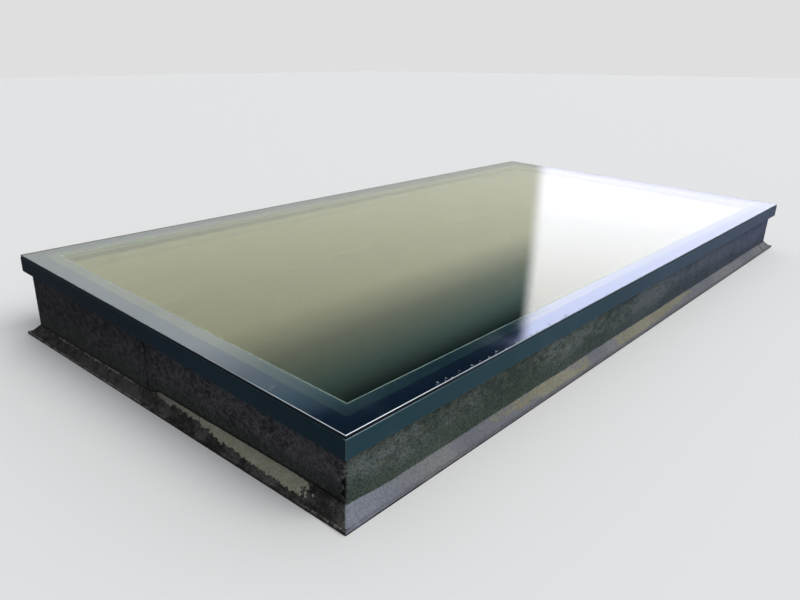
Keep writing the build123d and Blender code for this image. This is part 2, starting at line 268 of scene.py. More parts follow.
def finish(mat, values, relief=None):
    """Fill a material's shader; relief is (height, depth in metres, strength) on its normal."""
    tree = mat.node_tree
    shader = tree.nodes["Principled BSDF"]
    for key, value in values.items():
        fill(tree, shader.inputs[key], value)
    if relief:
        height, depth, strength = relief
        raised = node(tree, "ShaderNodeBump", {"Height": height, "Distance": depth, "Strength": strength})
        fill(tree, shader.inputs["Normal"], raised.outputs["Normal"])
    return mat


def glass_material(name, body, index=1.52, tint=(1.0, 1.0, 1.0)):
    """Clear glass or water: its body colour, the tint of its coating, and a faint film of dust."""
    mat, tree = new_material(name)
    film = cloud(tree, squared(tree)[0], 3.0, 4.0)
    return finish(mat, {
        "Base Color": body, "Transmission Weight": 1.0, "IOR": index, "Specular Tint": tint,
        "Roughness": spread(tree, film, 0.4, 0.75, 0.0, 0.002),
    })


def ground_edge_material():
    """Whitish ground arris, painted as a bright highlight near the front left corner that fades to dark
    further along.
    """
    mat, tree = new_material("ground_glass_edge")
    coords, x, y, _ = squared(tree)
    fine, wide = grain(tree, coords, 1500.0, 12.0)
    clean = mix(tree, spread(tree, wide, 0.35, 0.7), (0.88, 0.93, 0.96), (0.66, 0.73, 0.77))
    # Painted highlight: the arris darkens with its distance from the front left corner
    distance = maths(tree, "ADD", maths(tree, "ADD", x, y), HALF_LENGTH + HALF_WIDTH)
    near_highlight_fade = spread(tree, distance, 0.16, 0.42, 0.0, 0.6)
    far_highlight_fade = spread(tree, distance, 0.5, 1.1, 0.0, 0.4)
    patches = spread(tree, cloud(tree, coords, 30.0, 4.0, 0.7), 0.3, 0.6, 0.7, 0.95)
    highlight_fade = times(tree, maths(tree, "ADD", near_highlight_fade, far_highlight_fade), patches)
    return finish(mat, {
        "Base Color": mix(tree, highlight_fade, clean, (0.10, 0.12, 0.14)),
        "Roughness": spread(tree, fine, 0.2, 0.8, 0.22, 0.38),
    }, (fine, 0.1 * MM, 0.4))


def polished_edge_material():
    """Upright edge of the pane: black, with the fascia's blue painted on as a reflection, low down off the
    front and along the front away from the left corner.
    """
    mat, tree = new_material("polished_glass_edge")
    coords, x, y, z = squared(tree)
    # Painted reflection of the fascia's blue: the low band off the front and the band along the front
    ragged = scaled(tree, cloud(tree, coords, 24.0), 1.6 * MM, z)
    film = spread(tree, ragged, PRINT_HIGH + 5.4 * MM, PRINT_HIGH + 4.6 * MM)
    off_front = spread(tree, y, -HALF_WIDTH + 3 * MM, -HALF_WIDTH + 4 * MM)
    along = times(tree, spread(tree, x, -1.38, -0.95), maths(tree, "SUBTRACT", 1.0, off_front))
    colour = mix(tree, times(tree, film, off_front), (0.004, 0.008, 0.011), (0.018, 0.040, 0.058))
    return finish(mat, {
        "Base Color": mix(tree, along, colour, (0.027, 0.054, 0.078)),
        "Roughness": 0.35, "Specular IOR Level": 0.08,
    })


def border_material(name, colour, tint):
    """Fired black enamel seen through the glass, with a faint film on it."""
    mat, tree = new_material(name)
    film = cloud(tree, squared(tree)[0], 5.0, 4.0)
    return finish(mat, {
        "Base Color": mix(tree, spread(tree, film, 0.4, 0.8, 0.0, 0.4), colour, (0.016, 0.020, 0.028)),
        "Roughness": spread(tree, film, 0.3, 0.8, 0.03, 0.10),
        "IOR": 2.5, "Specular IOR Level": 1.0, "Specular Tint": tint,
    })


def spacer_material():
    """Bright spacer bar with a row of fine slots along its face."""
    mat, tree = new_material("bright_spacer")
    coords, x, y, z = squared(tree)
    fine, wide = grain(tree, coords, 900.0, 9.0)
    dash = maths(tree, "PINGPONG", maths(tree, "ADD", x, y), 3.0 * MM)
    row = maths(tree, "ABSOLUTE", maths(tree, "SUBTRACT", z, PRINT_LOW - SPACER_SLOT_DROP))
    slot = times(tree, spread(tree, dash, 1.6 * MM, 1.9 * MM), spread(tree, row, 0.5 * MM, 0.4 * MM))
    clean = mix(tree, spread(tree, wide, 0.3, 0.7), (0.82, 1.0, 0.89), (0.76, 0.95, 0.84))
    return finish(mat, {
        "Base Color": mix(tree, slot, clean, (0.06, 0.06, 0.06)),
        "Metallic": 1.0, "Roughness": spread(tree, fine, 0.2, 0.8, 0.70, 0.85),
    })


def powder_coat_material():
    """Anthracite powder coat: fine orange peel and rain runs, with painted light: a sheen far along X,
    shade at the back of the left face, a highlight on the front lip; mitre and drip edges lighter.
    """
    mat, tree = new_material("powder_coat")
    coords, x, y, z = squared(tree)
    fine, wide = grain(tree, coords, 1400.0, 2.2)
    base = mix(tree, spread(tree, wide, 0.35, 0.7), (0.018, 0.049, 0.062), (0.028, 0.061, 0.083))
    # Painted sheen: lighter and bluer further along X, as a grazing sheen
    base = mix(tree, spread(tree, x, -1.0, 0.9, 0.0, 0.8), base, (0.054, 0.074, 0.117))
    # Painted shade: the left face darker towards the back
    left = spread(tree, x, -HALF_LENGTH + 8 * MM, -HALF_LENGTH + 6 * MM)
    left_painted_shade = times(tree, left, spread(tree, y, -0.6, 0.5, 0.0, 0.7))
    base = mix(tree, left_painted_shade, base, (0.007, 0.011, 0.022))
    dirt = rain_runs(tree, coords, 0.35)
    foot = spread(tree, z, SKIRT_BOTTOM + 14 * MM, SKIRT_BOTTOM, 0.15, 1.0)
    base = mix(tree, times(tree, dirt, foot), base, (0.070, 0.088, 0.090))

    # Painted highlight: the front lip lighter near the left corner; the mitre corners and the drip edge are
    # lighter too
    front = spread(tree, y, -HALF_WIDTH + 8 * MM, -HALF_WIDTH + 6 * MM)
    front_highlight = scaled(tree, times(tree, front, spread(tree, x, -1.15, -1.55)), 0.75, 0.08)
    lip = times(tree, spread(tree, z, LIP_TOP - 1.8 * MM, LIP_TOP - 1.0 * MM), front_highlight)
    drip = spread(tree, z, SKIRT_BOTTOM + 0.9 * MM, SKIRT_BOTTOM + 0.3 * MM)
    near_x, near_y = (spread(tree, maths(tree, "ABSOLUTE", at), half - 1.0 * MM, half - 0.3 * MM)
                      for at, half in ((x, HALF_LENGTH), (y, HALF_WIDTH)))
    mitre = times(tree, near_x, near_y, 0.22)
    light_edge_breakup = spread(tree, cloud(tree, coords, 40.0, 4.0, 0.7), 0.35, 0.6, 0.7, 1.0)
    corner = maths(tree, "MAXIMUM", mitre, times(tree, drip, 0.3))
    edges = times(tree, maths(tree, "MAXIMUM", lip, corner), light_edge_breakup, 0.75)
    peel = spread(tree, fine, 0.2, 0.8, 0.40, 0.52)
    return finish(mat, {
        "Base Color": mix(tree, edges, base, (0.42, 0.52, 0.58)),
        "Roughness": scaled(tree, dirt, 0.15, peel), "Specular IOR Level": 0.1,
    }, (fine, 0.12 * MM, 0.5))


def rubber_material(name, colour, roughness, dust):
    """Black sealant or gasket with a little dust on it."""
    mat, tree = new_material(name)
    fine, wide = grain(tree, squared(tree)[0], 500.0, 14.0)
    dusty = spread(tree, wide, 0.4, 0.8, 0.0, dust)
    return finish(mat, {
        "Base Color": mix(tree, dusty, colour, (0.10, 0.11, 0.10)), "Specular IOR Level": 0.15,
        "Roughness": spread(tree, fine, 0.2, 0.8, roughness, roughness + 0.15),
    }, (fine, 0.2 * MM, 0.5))


def metal_material(name, colour, roughness):
    """Mill aluminium or plain steel with a fine dull grain."""
    mat, tree = new_material(name)
    fine, wide = grain(tree, squared(tree)[0], 1100.0, 20.0)
    darker = tuple(part * 0.8 for part in colour)
    return finish(mat, {
        "Base Color": mix(tree, spread(tree, wide, 0.35, 0.7), colour, darker), "Metallic": 1.0,
        "Roughness": spread(tree, fine, 0.2, 0.8, roughness, roughness + 0.15),
    }, (fine, 0.05 * MM, 0.4))


def timber_material():
    """Sawn softwood, with growth rings and fibres stretched along each board."""
    mat, tree = new_material("softwood")
    coords, _, y, _ = squared(tree)
    half_opening = HALF_WIDTH - KERB_INNER
    long_board = spread(tree, maths(tree, "ABSOLUTE", y), half_opening - 1 * MM, half_opening)
    along_y, along_x = (node(tree, "ShaderNodeMapping", {"Vector": coords, "Scale": scale}).outputs["Vector"]
                        for scale in ((14, 0.6, 14), (0.6, 14, 14)))
    picked = mix(tree, long_board, along_y, along_x)
    rings = node(tree, "ShaderNodeTexNoise", {
        "Vector": picked, "Scale": 2.2, "Detail": 6.0, "Roughness": 0.65, "Distortion": 0.6,
    }).outputs["Fac"]
    fibres = cloud(tree, picked, 22.0, 3.0, 0.5)
    wood = colour_ramp(
        tree, rings, (0.32, (0.62, 0.44, 0.25)), (0.52, (0.50, 0.33, 0.17)), (0.68, (0.66, 0.49, 0.30)),
    )
    return finish(mat, {
        "Base Color": mix(tree, spread(tree, fibres, 0.45, 0.8, 0.0, 0.45), wood, (0.30, 0.19, 0.10)),
        "Roughness": 0.72,
    }, (fibres, 0.4 * MM, 0.5))


def felt_face_colour(tree, coords, x, damp_and_shade, blend_in, shaded):
    """The kerb's faces: dry and mottled in front, bluer far along, a painted sheen; wet, flecked and pitted
    on the left, darker towards its back in painted shade.
    """
    dry = mix(tree, blend_in, (0.028, 0.039, 0.034), (0.084, 0.098, 0.097))
    olive = spread(tree, cloud(tree, coords, 40.0, 6.0, 0.75), 0.47, 0.60, 0.0, 0.55)
    dry = mix(tree, olive, dry, (0.071, 0.081, 0.056))
    # Painted sheen: bluer towards the far end of the front
    dry = mix(tree, spread(tree, x, -0.9, 1.6, 0.0, 0.8), dry, (0.055, 0.066, 0.110))
    wet = mix(tree, blend_in, (0.020, 0.021, 0.024), (0.100, 0.099, 0.103))
    flecks = spread(tree, cloud(tree, coords, 72.0, 5.0, 0.75, (0.7, 0.7, 1.0)), 0.48, 0.60)
    wet = mix(tree, times(tree, flecks, 0.75), wet, (0.145, 0.140, 0.128))
    pits = spread(tree, cloud(tree, coords, 88.0, 5.0, 0.75), 0.46, 0.36)
    wet = mix(tree, times(tree, pits, 0.8), wet, (0.008, 0.008, 0.009))
    wet = mix(tree, shaded, wet, (0.014, 0.013, 0.018))
    return mix(tree, damp_and_shade, dry, wet)


def felt_slope_colour(tree, x, damp_and_shade, clouds, blend_in, shaded):
    """The sheet over the angle fillets: pale in front, dry and painted as lit from above; dark on the left,
    wet and in painted shade.
    """
    dry = mix(tree, spread(tree, clouds, 0.36, 0.66), (0.115, 0.120, 0.138), (0.148, 0.150, 0.158))
    # Painted highlight: paler and bluer near the front left corner
    dry = mix(tree, spread(tree, x, -1.30, -1.58, 0.0, 0.7), dry, (0.165, 0.180, 0.218))
    wet = mix(tree, blend_in, (0.020, 0.019, 0.017), (0.080, 0.075, 0.070))
    wet = mix(tree, shaded, wet, (0.010, 0.009, 0.009))
    return mix(tree, damp_and_shade, dry, wet)


def silt_colour(tree, y, damp_and_shade, clouds, mottle):
    """Dried silt: buff in front, and pale and greenish on the left, darker towards the back in painted shade.
    """
    dry = mix(tree, spread(tree, clouds, 0.3, 0.7), (0.146, 0.142, 0.106), (0.190, 0.182, 0.140))
    wet = mix(tree, spread(tree, mottle, 0.3, 0.7), (0.300, 0.310, 0.215), (0.420, 0.415, 0.305))
    # Painted shade: the left silt darker towards the back
    wet = mix(tree, spread(tree, y, -0.30, 0.05, 0.0, 0.8), wet, (0.150, 0.138, 0.118))
    return mix(tree, damp_and_shade, dry, wet)


def felt_material():
    """Mineral cap sheet. It reads how far down the sheet a point is, its wetness with painted shade, and its
    silt.
    """
    mat, tree = new_material("mineral_felt")
    coords, x, y, _ = squared(tree)
    fall, damp_and_shade, silt = (node(tree, "ShaderNodeAttribute", attribute_name=name).outputs["Fac"]
                        for name in ("fall", "damp_and_shade", "silt"))
    granules, clouds = grain(tree, coords, 480.0, 4.0)
    mottle = cloud(tree, coords, 52.0, 6.0, 0.72, (0.55, 0.55, 1.0))
    fleck = cloud(tree, coords, 150.0, 4.0, 0.7)
    blend_in = spread(tree, scaled(tree, mottle, 0.9, clouds), 0.82, 1.08)
    shaded = spread(tree, y, -0.45, 0.75, 0.0, 0.65)

    # Green bloom lies along the foot of a face, and rain leaves pale dust down it
    face = felt_face_colour(tree, coords, x, damp_and_shade, blend_in, shaded)
    slow = cloud(tree, coords, 3.4, 2.0, 0.5, (1, 1, 0.3))
    foot = spread(tree, scaled(tree, slow, 0.8, fall), 0.90, 1.22)
    bloom = times(tree, foot, spread(tree, mottle, 0.34, 0.62, 0.40, 0.88))
    # Painted sheen: the green bloom turns bluer far along, as the face does
    green = mix(tree, spread(tree, x, -1.0, 0.6), (0.033, 0.047, 0.036), (0.030, 0.038, 0.048))
    face = mix(tree, bloom, face, mix(tree, damp_and_shade, green, (0.034, 0.037, 0.030)))
    dust = mix(tree, damp_and_shade, (0.090, 0.098, 0.090), (0.100, 0.096, 0.092))
    face = mix(tree, rain_runs(tree, coords, 0.2), face, dust)

    # The face and the slope meet in a slightly ragged crease, darkened on the wetter, shaded side by a
    # painted crease shadow
    slope = felt_slope_colour(tree, x, damp_and_shade, clouds, blend_in, shaded)
    ragged = scaled(tree, mottle, 0.10, -0.05)
    crease = spread(tree, maths(tree, "ADD", fall, ragged), 0.985, 1.035)
    colour = mix(tree, crease, face, slope)
    # Painted shadow along the top of the crease
    crease_shadow = times(tree, spread(tree, fall, 0.93, 0.975), spread(tree, fall, 1.01, 0.985))
    colour = mix(tree, times(tree, crease_shadow, damp_and_shade, 0.8), colour, (0.003, 0.003, 0.003))

    # The felt is paler along the toe on the left, at its front end and over its back half, and silt lies in
    # toothed patches on the slope
    ends = maths(tree, "MAXIMUM", spread(tree, y, -0.20, 0.05), spread(tree, y, -0.66, -0.74))
    toe = times(tree, spread(tree, fall, 2.55, 2.9), ends, damp_and_shade)
    toe = times(tree, toe, spread(tree, mottle, 0.40, 0.56, 0.1, 0.85))
    colour = mix(tree, toe, colour, (0.200, 0.190, 0.170))
    teeth = scaled(tree, cloud(tree, coords, 62.0, 5.0, 0.72), 2.2, -1.1)
    drift = maths(tree, "ADD", silt, -0.7)
    drift = scaled(tree, cloud(tree, coords, 13.0, 5.0, 0.6), 1.4, drift)
    drift = maths(tree, "ADD", drift, teeth)
    silted = times(tree, spread(tree, drift, 0.50, 0.54), spread(tree, silt, 0.02, 0.1))
    colour = mix(tree, silted, colour, silt_colour(tree, y, damp_and_shade, clouds, mottle))

    # Granules light and dark, quieter in silt and on the dry slope, and a few pale chips
    relief = scaled(tree, fleck, 1.3, times(tree, granules, 0.9))
    quiet = maths(tree, "MAXIMUM", silted, times(tree, crease, maths(tree, "SUBTRACT", 1.0, damp_and_shade)))
    speck = spread(tree, relief, 0.84, 1.34, -0.75, 0.75, kind="LINEAR")
    speck = scaled(tree, speck, scaled(tree, quiet, -0.62, 1.0), 1.03)
    specked = node(tree, "ShaderNodeVectorMath", {0: colour, "Scale": speck}, operation="SCALE")
    chip = spread(tree, cloud(tree, coords, 210.0, 2.0), 0.67, 0.73, 0.0, 0.55)
    chip = times(tree, chip, maths(tree, "SUBTRACT", 1.0, silted))
    gloss = times(tree, damp_and_shade, spread(tree, mottle, 0.3, 0.7, 0.05, 0.38))
    return finish(mat, {
        "Base Color": mix(tree, chip, specked.outputs["Vector"], (0.16, 0.17, 0.16)),
        "Specular IOR Level": 0.12, "Roughness": maths(tree, "SUBTRACT", 0.92, gloss),
    }, (scaled(tree, mottle, 0.8, granules), 1.2 * MM, 0.8))


def bitumen_material(name, gloss):
    """Melted bitumen: near black, glossy where it has run."""
    mat, tree = new_material(name)
    fine, wide = grain(tree, squared(tree)[0], 220.0, 18.0)
    colour = mix(tree, spread(tree, wide, 0.35, 0.7), (0.008, 0.008, 0.009), (0.022, 0.021, 0.020))
    return finish(mat, {
        "Base Color": colour, "Roughness": spread(tree, wide, 0.3, 0.7, gloss, gloss + 0.25),
    }, (fine, 0.6 * MM, 0.6))


# Named as the slots in the record; Blender may number a name that the frame has already
MATERIALS = {mat.name.split(".")[0]: mat for mat in (
    glass_material("outer_glass", (0.95, 0.965, 0.90)),
    glass_material("inner_glass", (0.66, 0.68, 0.16), tint=(1.0, 0.92, 0.12)),
    border_material("black_enamel", (0.006, 0.009, 0.020), (0.74, 0.86, 1.25)),
    spacer_material(),
    rubber_material("black_sealant", (0.010, 0.014, 0.018), 0.55, 0.08),
    rubber_material("foam_gasket", (0.030, 0.030, 0.030), 0.75, 0.2),
    rubber_material("packer_plastic", (0.14, 0.14, 0.15), 0.45, 0.1),
    powder_coat_material(),
    rubber_material("polyamide", (0.018, 0.018, 0.018), 0.5, 0.1),
    metal_material("mill_aluminium", (0.75, 0.76, 0.77), 0.35),
    metal_material("stainless_steel", (0.60, 0.60, 0.59), 0.25),
    timber_material(),
    bitumen_material("underlay_felt", 0.45),
    felt_material(),
)}
# Its dark teal colour is a painted reflection: the greenish sheen of the coating over the spacer
enamel_over_spacer_painted_reflection = border_material("enamel_over_spacer_painted_reflection", (0.034, 0.092, 0.094), (0.97, 1.04, 1.22))
ground_edge = ground_edge_material()
polished_edge = polished_edge_material()
bitumen_run = bitumen_material("bitumen_run", 0.18)
water = glass_material("water", (0.97, 0.98, 0.99), 1.33)

# Every CAD node takes the finish of its slot in the record
for ob in nodes.values():
    for slot in ob.material_slots:
        wanted = slot.material.name.split(".")[0] if slot.material else ""
        if wanted in MATERIALS:
            slot.material = MATERIALS[wanted]


# Meshes

def linked(name, data):
    """A new object in the scene."""
    made = bpy.data.objects.new(name, data)
    bpy.context.scene.collection.objects.link(made)
    return made


def mesh_piece(name, mesh, slot, *replaced):
    """Link a finished mesh as a piece that rides on the body and stands for CAD nodes."""
    piece = linked(name, mesh)
    if not mesh.materials:
        mesh.materials.append(MATERIALS[slot])
    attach(piece, "root")
    if replaced:
        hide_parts(*replaced)
    return piece


def side_length(side):
    """Length of a side over the fascias."""
    return 2 * (HALF_LENGTH if side in ("front", "back") else HALF_WIDTH)


def place(side, along, inset, height):
    """Point of the felt at a distance along a side, an inset and a height.

    Up on the kerb it is tipped with it, at its foot it follows the deck, and the face between
    the two is drawn out.
    """
    turn = math.radians(SIDES[side])
    across = HALF_WIDTH if side in ("front", "back") else HALF_LENGTH
    x, y = along - side_length(side) / 2, inset - across
    x, y = x * math.cos(turn) - y * math.sin(turn), x * math.sin(turn) + y * math.cos(turn)
    back = y + HALF_WIDTH - KERB_INSET
    sine, cosine = math.sin(KERB_FALL), math.cos(KERB_FALL)
    if height >= KERB_HEIGHT:
        height = back * sine + height * cosine
    elif height > PATCH_TOP:
        drawn = (back * sine + KERB_HEIGHT * cosine - PATCH_TOP) / (KERB_HEIGHT - PATCH_TOP)
        height = PATCH_TOP + (height - PATCH_TOP) * drawn
    lean = max(height, FILLET_LEG) * sine / cosine
    return Vector((x, KERB_INSET - HALF_WIDTH + back / cosine - lean - CENTRING, height))


def smooth_step(low, high, value):
    t = min(1.0, max(0.0, (value - low) / (high - low)))
    return t * t * (3 - 2 * t)


def arc(centre, radius, start, end, count):
    """Points on an arc between two headings, in degrees."""
    step = (end - start) / (count - 1)
    headings = [math.radians(start + i * step) for i in range(count)]
    return [(centre[0] + radius * math.cos(turn), centre[1] + radius * math.sin(turn)) for turn in headings]


def even(start, end, count):
    """Points between two points, without either of them."""
    shares = [i / (count + 1) for i in range(1, count + 1)]
    return [tuple(a + (b - a) * share for a, b in zip(start, end)) for share in shares]


def sheet_line(depth):
    """Section of the felt at a depth off the kerb: crown, face, angle fillet and toe.

    The bends are round. Every depth has the same number of points, so two depths make a sheet.
    """
    bend = math.tan(math.radians(22.5))
    face = KERB_INSET - depth
    top = KERB_HEIGHT + depth
    crown_radius = CROWN_RADIUS + depth
    crease_radius = CREASE_RADIUS - depth
    tangent = crease_radius * bend
    crease_top = FILLET_LEG + depth * bend + tangent
    foot_inset = KERB_INSET - FILLET_LEG - depth * bend
    along_slope = tangent * math.sqrt(0.5)
    toe = (KERB_INSET - FILLET_LEG - FOOT_LAP, depth)
    points = [(KERB_INNER - FELT_SETBACK, top), (face + 2 * crown_radius, top)]
    points += arc((face + crown_radius, top - crown_radius), crown_radius, 90, 180, CROWN_POINTS)
    points += even(points[-1], (face, crease_top), FACE_POINTS)
    points += arc((face - crease_radius, crease_top), crease_radius, 0, -45, CREASE_POINTS)
    points += even(points[-1], (foot_inset + along_slope, depth + along_slope), SLOPE_POINTS)
    points += arc((foot_inset - tangent, depth + crease_radius), crease_radius, -45, -90, CREASE_POINTS)
    points += even(points[-1], toe, 1)
    return points + [toe]


_lines = {}


def sheet_line_at(depth):
    """The section at a depth, worked out once."""
    key = round(depth, 6)
    if key not in _lines:
        _lines[key] = sheet_line(depth)
    return _lines[key]


REFERENCE = sheet_line(FELT)
OUTWARD = []
for here, further in zip(sheet_line(FELT), sheet_line(FELT + 1 * MM)):
    off = Vector((further[0] - here[0], further[1] - here[1]))
    OUTWARD.append(off.normalized() if off.length > 1e-9 else Vector((0, 1)))
CREASE_HEIGHT = FILLET_LEG + FELT * math.tan(math.radians(22.5))
CROWN_HEIGHT = KERB_HEIGHT + FELT


def fall_of(inset, height):
    """How far down the felt a point is: 0 at the crown, 1 at the crease, 2 at the foot, 3 at the toe."""
    if height > CREASE_HEIGHT:
        return max(0.0, (CROWN_HEIGHT - height) / (CROWN_HEIGHT - CREASE_HEIGHT))
    if height > FELT + 0.4 * MM:
        return 1 + (CREASE_HEIGHT - height) / (CREASE_HEIGHT - FELT)
    return 2 + min(1.0, max(0.0, (KERB_INSET - FILLET_LEG - inset) / FOOT_LAP))


FALLS = [fall_of(*point) for point in REFERENCE]


def wave(side, along, station):
    """How far the felt stands off or sinks at a point: it was rolled on by hand."""
    height = REFERENCE[station][1]
    seed = SIDES[side] * 0.37
    slow = noise.noise(Vector((along * 2.1, height * 9, seed)))
    quick = noise.noise(Vector((along * 11, height * 30, seed + 9)))
    off = SLOW_WAVE * slow + QUICK_WAVE * quick
    off *= smooth_step(KERB_HEIGHT + 1 * MM, KERB_HEIGHT - 12 * MM, height)
    off *= smooth_step(18 * MM, 70 * MM, min(along, side_length(side) - along))
    if FALLS[station] > 2:
        off *= 0.5
    return off


def crease_rise(side, along, station):
    """How much higher the crease runs where a strip bridges it: the near one on the left does."""
    if side == "left":
        end = side_length(side)
        first = LAPS[side][0]
        rise = LEFT_CREASE_RISE * smooth_step(first + 10 * MM, first + 70 * MM, along)
        rise -= LEFT_CREASE_DROP * smooth_step(end - 120 * MM, end - 30 * MM, along)
    elif side == "front":
        rise = FRONT_CREASE_RISE * smooth_step(170 * MM, 30 * MM, along)
    else:
        return 0.0
    height = REFERENCE[station][1]
    if height > CREASE_HEIGHT:
        return rise * max(0.0, (CREASE_RISE_TOP - height) / (CREASE_RISE_TOP - CREASE_HEIGHT))
    return rise * max(0.0, (height - FELT) / (CREASE_HEIGHT - FELT))


def curl_share(station):
    """Where up the face the loose edge at the near corner lies."""
    height = REFERENCE[station][1]
    return sum(math.exp(-((height - centre) / CURL_REACH) ** 2) for centre in CURL_HEIGHTS)


def corner_curl(side, along, station):
    """The left side's sheet stands away from the near corner, low down on the face."""
    if side != "left":
        return 0.0
    end = side_length(side)
    near = smooth_step(end - 100 * MM, end - 24 * MM, along)
    return CURL * near * near * curl_share(station)


def corner_round(station, depth, turn):
    """Rounding of a corner: how far from the mitre a point is, and how far it is let in."""
    radius = (CORNER_RADIUS + depth) * abs(OUTWARD[station].x)
    turn = math.radians(turn)
    return radius * (1 - math.sin(turn)), radius * (1 - math.cos(turn))


def lap_wobble(side, lap, station):
    """How far a lap's edge wanders at a height."""
    return LAP_WANDER * noise.noise(Vector((lap * 31, REFERENCE[station][1] * 40, SIDES[side])))


# Silt on the angle fillets: where along a side it rises, is full, fades and ends, how strong
# it is, and how far down the slope it reaches at its start and its end
SILT = {
    "left": ((0.80, 0.90, 1.50, 1.60, 0.95, 1.10, 1.85), (0.04, 0.10, 0.74, 0.84, 1.15, 0.95, 1.02)),
    "front": ((0.35, 0.70, 1.10, 1.17, 0.72, 1.5, 2.2), (1.31, 1.34, 1.95, 2.30, 0.72, 2.2, 1.4)),
    "right": ((0.3, 0.5, 0.9, 1.2, 0.5, 1.3, 1.5),),
    "back": ((0.8, 1.1, 2.0, 2.4, 0.5, 1.3, 1.5),),
}


def silt_at(side, along, station):
    """Strength of the silt at a point of the felt."""
    fall = FALLS[station]
    strength = 0.0
    for rise, full, fade, end, most, first_reach, last_reach in SILT[side]:
        reach_down = first_reach + (last_reach - first_reach) * smooth_step(rise, end, along)
        here = most * smooth_step(rise, full, along) * smooth_step(end, fade, along)
        strength = max(strength, here * smooth_step(reach_down + 0.35, reach_down - 0.25, fall))
    return strength * smooth_step(0.985, 1.02, fall)


def felt_point(side, along, station, depth, lift, let_in, raised):
    """Point of a laid sheet, with all that the laying by hand does to it."""
    inset, height = sheet_line_at(depth + lift)[station]
    off = wave(side, along, station) + corner_curl(side, along, station)
    inset += OUTWARD[station].x * off + let_in
    height += raised + OUTWARD[station].y * off + crease_rise(side, along, station)
    if FALLS[station] > 2.95:
        inset += TOE_RAG * (0.5 + noise.noise(Vector((along * 24, SIDES[side], depth * 300))))
    return place(side, along, inset, height)


def felt_sheet(name, columns, depths, replaced, stations=None, ragged_top=None):
    """A sheet of felt as a closed mesh, between two depths off the kerb.

    Each column is a function of (station, depth) that gives the side, the distance along it,
    how far the sheet is lifted there and how far it is let in.
    """
    chosen = list(range(len(REFERENCE))) if stations is None else stations
    bm = bmesh.new()
    layers = [bm.verts.layers.float.new(label) for label in ("fall", "damp_and_shade", "silt")]
    inner_depth, outer_depth = depths
    loop = [(k, outer_depth) for k in chosen] + [(k, inner_depth) for k in reversed(chosen)]
    count = len(loop)
    rows = []
    for column in columns:
        row = []
        for station, depth in loop:
            side, along, lift, let_in = column(station, depth)
            raised = ragged_top(side, along) if ragged_top and station == chosen[0] else 0.0
            vert = bm.verts.new(felt_point(side, along, station, depth, lift, let_in, raised))
            for layer, value in zip(layers, (FALLS[station], DAMP_AND_SHADE[side], silt_at(side, along, station))):
                vert[layer] = value
            row.append(vert)
        rows.append(row)
    for near, far in zip(rows, rows[1:]):
        for i in range(count):
            j = (i + 1) % count
            bm.faces.new((near[i], far[i], far[j], near[j]))
    for row in (rows[0], rows[-1]):
        for i in range(len(chosen) - 1):
            bm.faces.new((row[i], row[i + 1], row[count - 2 - i], row[count - 1 - i]))
    bmesh.ops.remove_doubles(bm, verts=bm.verts, dist=0.02 * MM)
    bmesh.ops.dissolve_degenerate(bm, edges=bm.edges, dist=0.02 * MM)
    bmesh.ops.recalc_face_normals(bm, faces=bm.faces)
    for face in bm.faces:
        face.smooth = True
    mesh = bpy.data.meshes.new(name)
    bm.to_mesh(mesh)
    bm.free()
    mesh.set_sharp_from_angle(angle=math.radians(50))
    return mesh_piece(name, mesh, "mineral_felt", replaced)


def corner_column(side, at_left, turn, short=0.0):
    """Column of points on the rounded corner at one end of a side."""
    def column(station, depth):
        inset = sheet_line_at(depth)[station][0]
        from_mitre, let_in = corner_round(station, depth, turn)
        from_corner = inset + from_mitre + short * curl_share(station)
        along = from_corner if at_left else side_length(side) - from_corner
        return side, along, 0.0, let_in
    return column


def strip_column(side, start, end, share):
    """Column of points across a strip, which starts or ends at a corner where that is None."""
    def column(station, depth):
        inset = sheet_line_at(depth)[station][0]
        at_corner = inset + corner_round(station, depth, 0)[0]
        first = at_corner if start is None else start
        if end is None:
            last = side_length(side) - at_corner
            return side, first + (last - first) * share, 0.0, 0.0
        under_frame = REFERENCE[station][1] > KERB_HEIGHT - 1 * MM
        last = end - LAP_WIDTH if under_frame else end + lap_wobble(side, end, station)
        along = first + (last - first) * share
        joggle = smooth_step(end - LAP_WIDTH - LAP_JOGGLE, end - LAP_WIDTH, along)
        return side, along, (0.0 if under_frame else LAP_RISE * joggle), 0.0
    return column


def build_cap_strips(side):
    """Strips of cap sheet; each laps over its right-hand neighbour."""
    starts = [None] + [lap - LAP_WIDTH for lap in LAPS[side]]
    ends = list(LAPS[side]) + [None]
    for number, (start, end) in enumerate(zip(starts, ends), start=1):
        nominal = (side_length(side) if end is None else end) - (0.0 if start is None else start)
        count = max(8, round(nominal / COLUMN_PITCH))
        columns = [strip_column(side, start, end, j / count) for j in range(count + 1)]
        if start is None:
            columns = [corner_column(side, True, turn) for turn in CORNER_TURNS] + columns
        if end is None:
            short = LEFT_SHORT_BY if side == "left" else 0.0
            columns += [corner_column(side, False, turn, short) for turn in reversed(CORNER_TURNS)]
        felt_sheet(f"felt_{side}_{number}", columns, (UNDERLAY, FELT), f"cap_sheet_{side}_{number}")


def wing_column(side, at_left, share, seed):
    """Column of points across one wing of a corner patch, whose end is cut by hand."""
    def column(station, depth):
        inset = sheet_line_at(depth)[station][0] + corner_round(station, depth, 0)[0]
        wing_end = PATCH_WRAP + PATCH_RAG * noise.noise(Vector((station * 0.8, SIDES[side], seed)))
        from_corner = inset + (wing_end - inset) * share
        return side, (from_corner if at_left else side_length(side) - from_corner), 0.0, 0.0
    return column


def ragged_patch_top(side, along):
    return PATCH_TOP_RAG * noise.noise(Vector((along * 40, SIDES[side], 2.5)))


